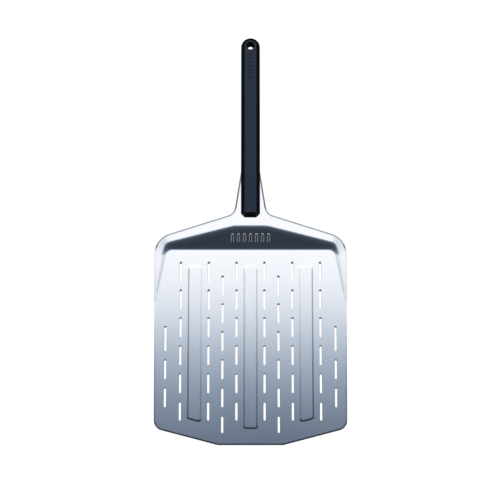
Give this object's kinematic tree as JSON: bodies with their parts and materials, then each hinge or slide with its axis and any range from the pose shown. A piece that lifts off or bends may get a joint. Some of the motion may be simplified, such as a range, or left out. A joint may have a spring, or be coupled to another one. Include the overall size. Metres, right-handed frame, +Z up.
{
  "type": "pizza peel",
  "caption": "Pizza peel: pressed aluminium blade with raised ribs and vent slots, its tang clamped inside a two-part moulded handle with a hanging hole.",
  "frame": {"origin": "middle of the leading edge, on the plane that the blade rests on", "axes": "+Y from the leading edge to the end of the handle, +Z up through the side that carries food, +X to the right"},
  "size_m": [0.3086, 0.6502, 0.03],
  "materials": {
    "sheet": "satin anodised, fine lengthwise grain",
    "grip": "fine moulded texture, glass-filled nylon",
    "screw": "satin",
    "insert": "machined"
  },
  "bodies": {
    "root": {"blade": "sheet", "handle_front_shell": "grip", "handle_back_shell": "grip", "handle_screws": "screw", "threaded_inserts": "insert"}
  },
  "joints": []
}
